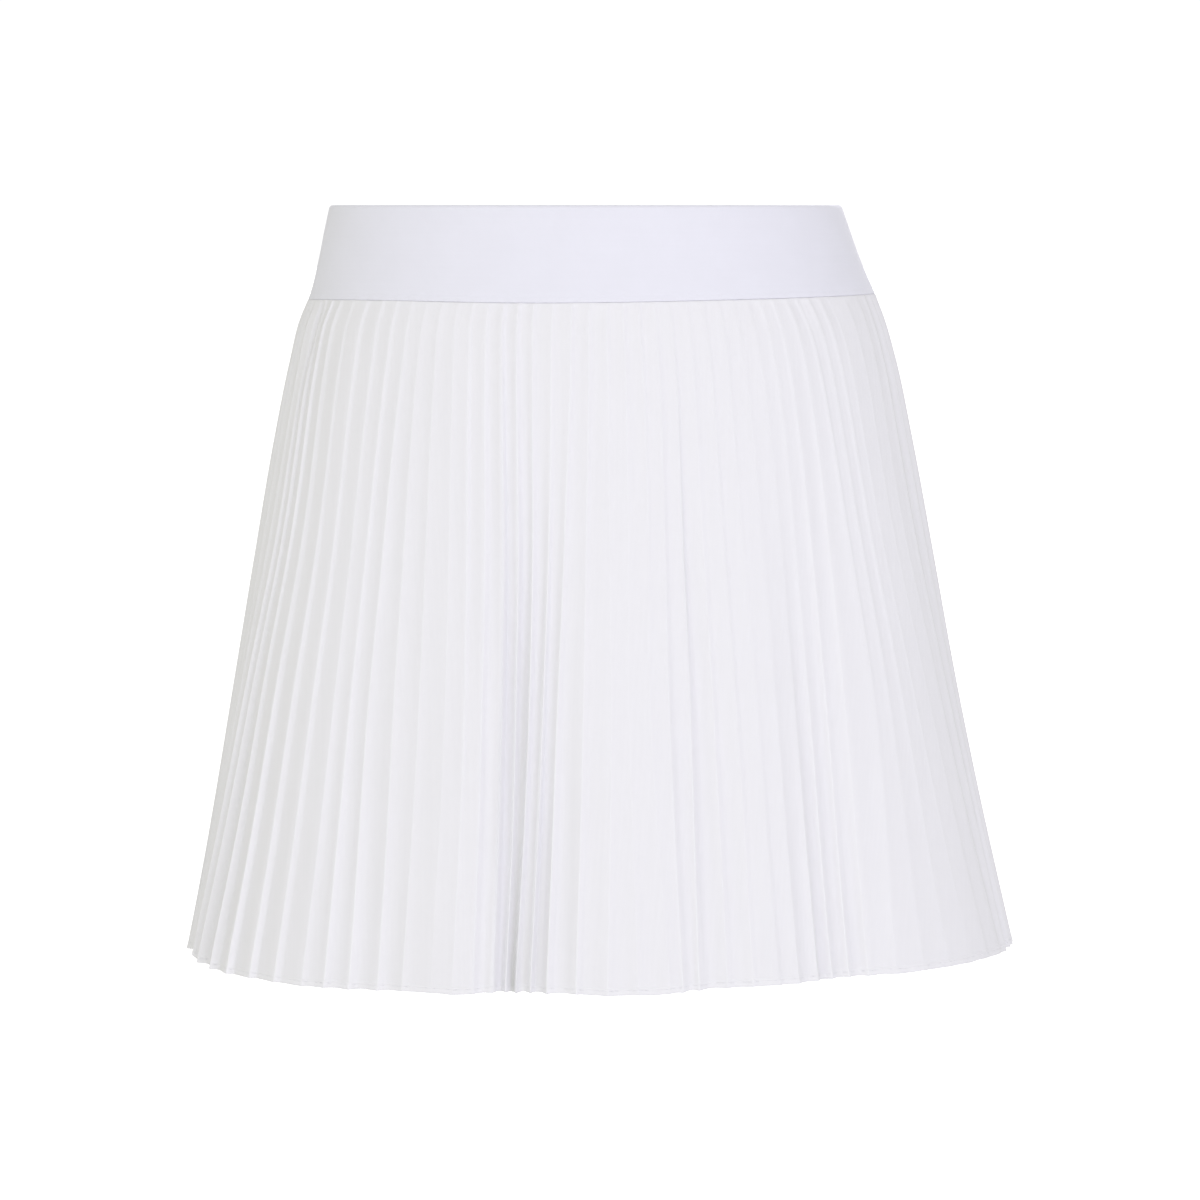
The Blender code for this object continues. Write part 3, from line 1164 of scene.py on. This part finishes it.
    def marks(self, across: np.ndarray, moved: np.ndarray, depth: np.ndarray) -> np.ndarray:
        """Where the painted highlight of the crests falls along a row, stronger where the pleat is deep.

        Args:
            across: Where its points stand, as shares of the outline.
            moved: Where its creases stand.
            depth: Its pleats' depths.

        Returns:
            The crease mark at each point, from 0 to 1.
        """
        beside = self.beside_mark
        marks = np.append(np.tile((0.0, 0.0, 0.0, beside, 1.0, beside, 0.0, 0.0), self.pleats), 0.0)
        return marks * np.interp(across, moved, np.clip(depth / self.sharp_depth, self.least_mark, 1.0))

    def laid_row(self, row: Row, differs: Differences) -> LaidCloth:
        """Lays one row of cloth.

        Args:
            row: The row.
            differs: What differs along it.

        Returns:
            Its points.
        """
        loop = HalfLoop(self.form.section(row.drop), self.side, self.seam_gap, row.inset)
        moved, depth, outward = self.crease_line(row, differs, loop.length)
        pitch = np.diff(moved) * loop.length
        steps = self.breaks(pitch)
        across = moved[:-1, None] + steps * np.diff(moved)[:, None]
        out = outward[:-1, None] + steps * np.diff(outward)[:, None]
        out -= self.sagged(steps, pitch) * (depth[:-1, None] + depth[1:, None]) / 2
        out[1:, 0] += self.crease_roundness * ((out[1:, 1] + out[:-1, 3]) / 2 - out[1:, 0])
        out[:, 2] += differs.bow * depth[1:]
        across = np.append(across.ravel(), moved[-1])
        out = np.append(out.ravel(), outward[-1])
        x, y, sine = loop.place(across, out)
        wavy = np.interp(across, moved, differs.hem) * self.form.hung(row.drop) ** 2
        z = self.form.height(row.drop, sine) - self.folded(across, row.drop, "dip") - wavy
        points = np.stack((x, y, z), axis=1)
        along = run_along(points)
        return LaidCloth(
            points=points,
            cut=np.stack((along - along[-1] / 2, np.full(len(along), -row.drop)), axis=1),
            # The crease mark places the painted highlight; the depth mark places the painted shade.
            crease=self.marks(across, moved, depth) * differs.settled,
            hollow=np.clip((-out - self.hollow_from) / (self.hollow_full - self.hollow_from), 0.0, 1.0),
        )

    def laid(self) -> LaidCloth:
        """Works out where the whole panel lies.

        Returns:
            Its points and marks, by row and column.
        """
        rows = self.rows()
        differences = self.differences(np.array([row.drop for row in rows]))
        laid = [self.laid_row(row, differs) for row, differs in zip(rows, differences)]
        return LaidCloth(*(np.array(column) for column in zip(*map(astuple, laid))))

    def pleated(self, laid: LaidCloth) -> BMesh:
        """Folds a flat grid of cloth into the panel.

        Args:
            laid: Where the cloth lies.

        Returns:
            The folded grid, with its flat place and its marks.
        """
        rows = self.rows()
        count_down, count_across = laid.points.shape[0] - 1, laid.points.shape[1] - 1
        cloth = bmesh.new()
        bmesh.ops.create_grid(cloth, x_segments=count_across, y_segments=count_down, size=1.0)
        flat = cloth.loops.layers.uv.new("cut")
        # The crease layer places the painted highlight on the crests; the last layer places the painted shade
        # in the deepest folds.
        creased = cloth.verts.layers.float.new("crease")
        doubled = cloth.verts.layers.float.new("doubled")
        sheltered = cloth.verts.layers.float.new("hollow")
        spots = {}
        for vertex in cloth.verts:
            column = round((vertex.co.x + 1.0) / 2.0 * count_across)
            row = round((1.0 - vertex.co.y) / 2.0 * count_down)
            spots[vertex] = (row, column)
            vertex.co = laid.points[row, column]
            vertex[creased] = laid.crease[row, column]
            vertex[sheltered] = laid.hollow[row, column]
            vertex[doubled] = 1.0 if rows[row].raised else 0.0
        for face in cloth.faces:
            for corner in face.loops:
                corner[flat].uv = laid.cut[spots[corner.vert]]
        if self.side is Side.BACK:
            bmesh.ops.reverse_faces(cloth, faces=cloth.faces)
        return cloth

    def build(self, finish: Material) -> Object:
        """Builds the panel and gives the cloth its thickness.

        Args:
            finish: The cloth's material.

        Returns:
            The pleated panel.
        """
        laid = self.laid()
        self.points = laid.points
        piece = finished(f"pleated_{self.side.label}", self.pleated(laid), finish)
        shell = piece.modifiers.new("cloth_thickness", "SOLIDIFY")
        shell.thickness = self.wall
        shell.offset = -1.0
        shell.use_even_offset = True
        shell.use_quality_normals = True
        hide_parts(f"skirt_{self.side.label}")
        return piece

    def outward(self, row: int, column: int) -> Vector:
        """Finds which way the cloth faces.

        Args:
            row: The point's row.
            column: The point's column.

        Returns:
            The cloth's outward direction there.
        """
        last_row, last_column = self.points.shape[0] - 1, self.points.shape[1] - 1
        left, right = self.points[row, max(column - 1, 0)], self.points[row, min(column + 1, last_column)]
        above, below = self.points[max(row - 1, 0), column], self.points[min(row + 1, last_row), column]
        return (Vector(below - above).cross(Vector(right - left)) * -self.side.value).normalized()

    def hem_stitching(self, finish: Material) -> Object:
        """A row of stitches in the groove of the hem, whole stitches on each face of each pleat.

        Args:
            finish: The thread's material.

        Returns:
            The stitching.
        """
        stitching = Stitching(f"{self.side.label}_hem_stitches")
        groove = self.points.shape[0] - len(HEM_ROWS) + HEM_GROOVE
        line = self.points[groove]
        for face in range(2 * self.pleats):
            start = Vector(line[face * 4 + 1])
            along = Vector(line[face * 4 + 3]) - start
            out = self.outward(groove, face * 4 + 2)
            count = max(1, int(along.length // self.stitch_spacing))
            length = min(self.stitch_length, along.length / count * self.stitch_fill)
            for number in range(count):
                middle = start + along * ((number + 0.5) / count) + out * self.stitch_lift
                stitching.stitches.append(Stitch(middle, along, out, length))
        return stitching.build(finish)

    def edge_overlock(self, finish: Material) -> Object:
        """Looped thread over the raw top edge, which lies inside the waistband.

        Args:
            finish: The thread's material.

        Returns:
            The overlocked edge.
        """
        loops = Stitching(f"{self.side.label}_waist_overlock", thread_radius=self.overlock_radius)
        top, below = self.points[0], self.points[1]
        for number, column in enumerate(range(1, self.points.shape[1] - 1, 2)):
            out = self.outward(0, column)
            down = Vector(below[column] - top[column]).normalized()
            side = Vector(top[min(column + 2, len(top) - 1)] - top[column]).normalized()
            lean = side if number % 2 == 0 else -side
            middle = Vector(top[column]) - out * (self.wall + self.overlock_lift) + down * self.overlock_drop
            along = down * self.overlock_steepness + lean
            loops.stitches.append(Stitch(middle, along, out, self.overlock_length))
        return loops.build(finish)

    def cut_size(self) -> tuple[float, float, float]:
        """Measures the cloth that a maker lays flat, with what is tucked behind the band.

        Returns:
            Its width, its length and its area, in metres and square metres.
        """
        widths = np.linalg.norm(np.diff(self.points, axis=1), axis=2).sum(axis=1)
        drops = np.array([row.drop for row in self.rows()])
        area = float(np.sum((widths[1:] + widths[:-1]) / 2.0 * np.diff(drops)))
        return float(widths.max()), float(drops[-1] - drops[0]), area


@dataclass(frozen=True)
class BandRow:
    """A line round the waistband: its drop, how far in it lies and its share of the foot's pucker."""

    drop: float
    inset: float
    pucker: float = 0.0


@dataclass
class Waistband:
    """The elastic loop: covered elastic folded over at the top and closed above the waist seam."""

    form: SkirtForm
    steps: int = 720
    top_outer: float = 1.7 * MM
    top_inner: float = 0.5 * MM
    foot_radius: float = 0.30 * MM
    foot_pucker: float = 0.10 * MM
    pucker_pitch: int = 8
    ridge_drop: float = 44.2 * MM
    ridge_depth: float = 0.07 * MM
    ripple: float = 0.16 * MM
    ripple_full: float = 30.0 * MM
    ripples: Unevenness = Unevenness(71, 18.0, 0.05)
    join_steps: float = 20.0
    closing_step: float = 1.5 * MM

    def profile(self) -> list[BandRow]:
        """Sets out the band's cross section.

        Returns:
            Its rows, from the inner foot round the outside and over the top to the inner face.
        """
        height, wall = self.form.band_height, self.form.band_wall
        foot, outer, inner, ridge = self.foot_radius, self.top_outer, self.top_inner, self.ridge_drop
        line = [BandRow(height - 0.2 * MM, wall - 0.5 * MM, 0.3), BandRow(height - 0.05 * MM, 1.2 * MM, 0.5)]
        for turn in np.linspace(0.0, math.pi / 2, 4):
            line.append(BandRow(height - foot * (1.0 - math.cos(turn)), foot * (1.0 - math.sin(turn)), 1.0))
        line += [
            BandRow(ridge + 1.2 * MM, 0.0, 0.6),
            BandRow(ridge + 0.4 * MM, 0.0, 0.4),
            BandRow(ridge, self.ridge_depth, 0.3),
            BandRow(ridge - 0.4 * MM, 0.0, 0.2),
        ]
        for drop in np.linspace(ridge - 3.0 * MM, outer + 1.5 * MM, 13):
            line.append(BandRow(float(drop), 0.0))
        for turn in np.linspace(0.0, math.pi / 2, 5):
            line.append(BandRow(outer * (1.0 - math.sin(turn)), outer * (1.0 - math.cos(turn))))
        for turn in np.linspace(0.0, math.pi / 2, 4)[1:]:
            line.append(BandRow(inner * (1.0 - math.cos(turn)), wall - inner * math.cos(turn)))
        for drop in np.linspace(4.0 * MM, height - 1.5 * MM, 9):
            line.append(BandRow(float(drop), wall))
        return line

    def girth(self, drop: float) -> float:
        """The length round the garment at a drop, in metres."""
        return sum(HalfLoop(self.form.section(drop), side).length for side in Side)

    def laid(self, profile: list[BandRow]) -> np.ndarray:
        """Works out where the band lies.

        Args:
            profile: Its cross section.

        Returns:
            Points by row and by step, from the right side seam round the back and then the front.
        """
        half = self.steps // 2
        numbers = np.arange(self.steps + 1)
        waves = self.ripples.table(self.steps + 1, np.array([row.drop for row in profile]))
        waves *= np.clip(np.minimum(numbers, self.steps - numbers) / self.join_steps, 0.0, 1.0)[:, None]
        points = np.zeros((len(profile), self.steps, 3))
        for index, row in enumerate(profile):
            for side, steps in ((Side.BACK, np.arange(1, half + 1)), (Side.FRONT, np.arange(1 - half, 1))):
                wrinkle = self.ripple * waves[steps % self.steps, index]
                wrinkle *= min(row.drop / self.ripple_full, 1.0)
                tucked = row.pucker * self.foot_pucker * np.cos(2.0 * math.pi * steps / self.pucker_pitch)
                loop = HalfLoop(self.form.section(row.drop), side)
                x, y, sine = loop.place(1.0 - np.abs(steps) / half, wrinkle + tucked - row.inset)
                y = np.where(steps % half == 0, 0.0, y)
                points[index, steps % self.steps] = np.stack((x, y, self.form.height(row.drop, sine)), axis=1)
        return points

    def unroll(self, band: BMesh, spots: dict[BMVert, tuple[int, int]]) -> None:
        """Gives every face its place on the flat band.

        Args:
            band: The band.
            spots: The row and step of each of its points.
        """
        half = self.steps // 2
        down = run_along(np.array([(row.drop, row.inset) for row in self.profile()]))
        width = HalfLoop(self.form.section(self.form.band_height), Side.FRONT).length * 2
        flat = band.loops.layers.uv.new("cut")
        for face in band.faces:
            rows = [spots[corner.vert][0] for corner in face.loops]
            steps = [spots[corner.vert][1] for corner in face.loops]
            for corner, row, step in zip(face.loops, rows, steps):
                if abs(step) == half:
                    step = math.copysign(half, min(steps, key=abs))
                closing = row == 0 and max(rows) > 1
                lower = down[-1] + self.closing_step if closing else down[row]
                corner[flat].uv = (step / self.steps * width, lower)

    def build(self, finish: Material) -> Object:
        """Spins the cross section round and lays it on the garment.

        Args:
            finish: The band's material.

        Returns:
            The waistband.
        """
        profile = self.profile()
        band = bmesh.new()
        ring = bmesh.ops.create_circle(band, segments=len(profile), radius=1.0)["verts"]
        for index, vertex in enumerate(ring):
            vertex.co = (1.0, 0.0, float(index))
        bmesh.ops.spin(
            band,
            geom=ring + band.edges[:],
            cent=(0.0, 0.0, 0.0),
            axis=(0.0, 0.0, 1.0),
            angle=2.0 * math.pi,
            steps=self.steps,
            use_merge=True,
        )
        points = self.laid(profile)
        spots = {}
        for vertex in band.verts:
            row = round(vertex.co.z)
            step = round(math.atan2(vertex.co.y, vertex.co.x) / (2.0 * math.pi) * self.steps)
            spots[vertex] = (row, step)
            vertex.co = points[row, step % self.steps]
        self.unroll(band, spots)
        bmesh.ops.recalc_face_normals(band, faces=band.faces)
        piece = finished("elastic_waistband", band, finish)
        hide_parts("waistband")
        return piece


@dataclass(frozen=True)
class SoftLamp:
    """A square soft box: its place and size in metres, its power in watts and its colour."""

    name: str
    place: tuple[float, float, float]
    power: float
    colour: tuple[float, float, float]
    size: float = 1.2

    def build(self, target: Vector) -> None:
        """Hangs the lamp.

        Args:
            target: The place that it is turned to.
        """
        data = bpy.data.lights.new(self.name, "AREA")
        data.shape = "SQUARE"
        data.size = self.size
        data.energy = self.power
        data.color = self.colour
        lamp = bpy.data.objects.new(self.name, data)
        lamp.location = self.place
        lamp.rotation_euler = (target - Vector(self.place)).to_track_quat("-Z", "Y").to_euler()
        lamp.visible_camera = False
        bpy.context.scene.collection.objects.link(lamp)


@dataclass(frozen=True)
class Studio:
    """A plain pale floor, an even surround, soft boxes all round and the camera in front."""

    camera_distance: float = 2.0
    camera_side: float = 5.85 * MM
    camera_height: float = 23.5 * MM
    aim_drop: float = 201.07 * MM
    lens: float = 117.87
    sensor: float = 36.0
    floor_drop: float = 0.95
    floor_size: float = 120.0
    floor_glow: float = 0.85
    floor_colour: Colour = (0.92, 0.92, 0.92, 1.0)
    white: Colour = (1.0, 1.0, 1.0, 1.0)
    backdrop_strength: float = 1.06
    surround: Colour = (0.995, 0.993, 0.950, 1.0)
    surround_strength: float = 0.70
    lamp_target: tuple[float, float, float] = (0.0, 0.0, -0.15)
    lamps: tuple[SoftLamp, ...] = (
        SoftLamp("key_lamp", (1.04, -2.05, 0.45), 17.8, (0.88, 0.865, 1.0)),
        SoftLamp("left_lamp", (-1.42, -1.81, 0.45), 8.8, (0.975, 0.985, 0.94)),
        SoftLamp("edge_lamp", (-2.08, 0.97, 0.45), 1.2, (1.0, 1.0, 0.10)),
        SoftLamp("rear_lamp", (0.5, 2.4, 0.8), 19.0, (0.88, 0.87, 1.0)),
    )

    def build(self) -> None:
        """Builds the stage, the light and the camera."""
        self._floor()
        self._surround()
        for lamp in self.lamps:
            lamp.build(Vector(self.lamp_target))
        self._camera()
        bpy.context.scene.view_settings.view_transform = "Standard"

    def _floor(self) -> None:
        """Lays the floor well below the hem, as under a wearer's feet."""
        down = Matrix.Translation((0.0, 0.0, -self.floor_drop))
        ground = bmesh.new()
        bmesh.ops.create_grid(ground, x_segments=2, y_segments=2, size=self.floor_size / 2, matrix=down)
        mesh = bpy.data.meshes.new("floor")
        ground.to_mesh(mesh)
        ground.free()
        bench, pale, shader = NodeBench.for_finish("pale_floor")
        seen = bench.node("ShaderNodeLightPath").outputs["Is Camera Ray"]
        bench.wire(shader, {
            "Base Color": self.floor_colour,
            "Roughness": 0.9,
            "Specular IOR Level": 0.1,
            "Emission Color": self.white,
            "Emission Strength": bench.math("MULTIPLY", seen, self.floor_glow),
        })
        mesh.materials.append(pale)
        floor = bpy.data.objects.new("floor", mesh)
        bpy.context.scene.collection.objects.link(floor)

    def _surround(self) -> None:
        """Surrounds the skirt with even soft light, and puts a plain white backdrop behind it."""
        world = bpy.data.worlds.new("surround")
        world.use_nodes = True
        bench = NodeBench(world.node_tree)
        light = world.node_tree.nodes["Background"]
        bench.wire(light, {"Color": self.surround, "Strength": self.surround_strength})
        backdrop = {"Color": self.white, "Strength": self.backdrop_strength}
        behind = bench.node("ShaderNodeBackground", backdrop).outputs[0]
        seen = bench.node("ShaderNodeLightPath").outputs["Is Camera Ray"]
        both = bench.node("ShaderNodeMixShader", {0: seen, 1: light.outputs[0], 2: behind})
        bench.wire(world.node_tree.nodes["World Output"], {0: both.outputs[0]})
        bpy.context.scene.world = world

    def _camera(self) -> None:
        """Places the camera level with the waistband's top, looking slightly down."""
        data = bpy.data.cameras.new("camera")
        data.sensor_width = self.sensor
        data.lens = self.lens
        camera = bpy.data.objects.new("camera", data)
        camera.location = (self.camera_side, -self.camera_distance, self.camera_height)
        camera.rotation_euler = (math.pi / 2 - math.atan(self.aim_drop / self.camera_distance), 0.0, 0.0)
        bpy.context.scene.collection.objects.link(camera)
        bpy.context.scene.camera = camera


def main() -> None:
    """Builds the stage, then the skirt from the waistband down."""
    logging.basicConfig(level=logging.INFO, format="%(message)s")
    Studio().build()
    patterns = ClothPatterns()
    cloth = PressedPleatCloth().material(patterns)
    elastic = CoveredElastic().material(patterns)
    thread = SewingThread().material(patterns)
    form = SkirtForm()
    band = Waistband(form)
    waistband = band.build(elastic)
    girth = band.girth(form.band_height / 2)
    LOG.info("waistband: %.0f mm round, %d faces", girth / MM, len(waistband.data.polygons))
    for panel in (
        PleatedPanel(form, Side.FRONT, FRONT_PLEATS, FRONT_FOLDS, FRONT_FANS, FRONT_TUCKS, seed=11),
        PleatedPanel(form, Side.BACK, BACK_PLEATS, BACK_FOLDS, BACK_FANS, BACK_TUCKS, seed=47),
    ):
        piece = panel.build(cloth)
        stitches = panel.hem_stitching(thread)
        overlock = panel.edge_overlock(thread)
        width, length, area = panel.cut_size()
        faces = [len(part.data.polygons) for part in (piece, stitches, overlock)]
        LOG.info("%s: cut %.0f by %.0f mm, %.4f square metres", piece.name, width / MM, length / MM, area)
        LOG.info("%s: %d faces of cloth, %d and %d of thread", piece.name, *faces)


if __name__ == "__main__":
    main()
